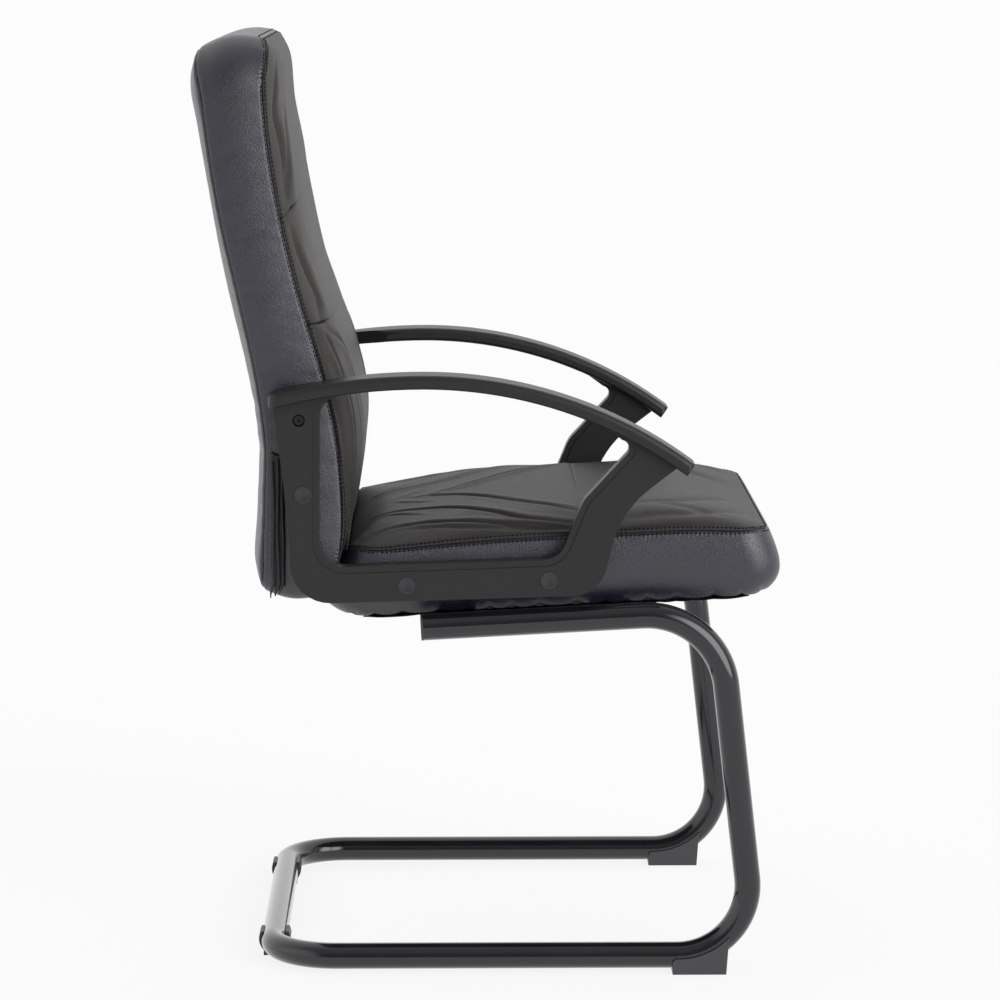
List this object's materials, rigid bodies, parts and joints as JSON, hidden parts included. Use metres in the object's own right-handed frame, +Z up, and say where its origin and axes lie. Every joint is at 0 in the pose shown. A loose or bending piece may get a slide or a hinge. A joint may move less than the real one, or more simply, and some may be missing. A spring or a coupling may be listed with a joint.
{
  "type": "visitor chair",
  "caption": "Visitor chair with a bent tube cantilever frame, padded seat, loop arms and a high padded back.",
  "frame": {"origin": "centre of the footprint on the floor, under the middle of the overall box", "axes": "+Z up, -Y is the way the sitter faces, +Y towards the back, +X to the sitter's left"},
  "size_m": [0.567, 0.6253, 0.9902],
  "materials": {
    "frame_paint": "gloss black lacquer",
    "arm_plastic": "fine moulded texture, matte",
    "cap_plastic": "satin",
    "glide_plastic": "satin",
    "border_leather": "blue-black, pebbled grain, low sheen",
    "face_leather": "warm black, soft, semi-gloss",
    "foam": "open-cell foam, matte",
    "plywood": "raw",
    "batten_wood": "raw",
    "plain_steel": "zinc plated",
    "black_steel": "black oxide",
    "insert_brass": "satin",
    "dust_cloth": "non-woven, matte",
    "zip_tape": "woven, matte"
  },
  "bodies": {
    "root": {"side_tube_right": "frame_paint", "side_tube_left": "frame_paint", "rear_cross_tube": "frame_paint", "front_seat_plate": "frame_paint", "rear_seat_plate": "frame_paint", "tube_end_plugs": "glide_plastic", "front_glide_right": "glide_plastic", "front_glide_left": "glide_plastic", "rear_glide_right": "glide_plastic", "rear_glide_left": "glide_plastic", "seat_board": "plywood", "seat_battens": "batten_wood", "seat_batten_screws": "plain_steel", "seat_t_nuts": "plain_steel", "seat_bolts": "black_steel", "seat_bolt_washers": "plain_steel", "seat_foam": "foam", "seat_border": "border_leather", "seat_front_panel": "face_leather", "seat_rear_panel": "face_leather", "seat_dust_cover": "dust_cloth", "arm_right": "arm_plastic", "arm_left": "arm_plastic", "arm_inserts": "insert_brass", "arm_bolts": "black_steel", "arm_bolt_washers": "plain_steel", "arm_bolt_caps": "cap_plastic", "arm_top_screws": "black_steel", "back_board": "plywood", "back_battens": "batten_wood", "back_batten_screws": "plain_steel", "back_foam": "foam", "back_border": "border_leather", "back_lumbar_panel": "face_leather", "back_middle_panel": "face_leather", "back_head_panel": "face_leather", "back_rear_panel": "border_leather", "back_zip_tapes": "zip_tape"}
  },
  "joints": []
}
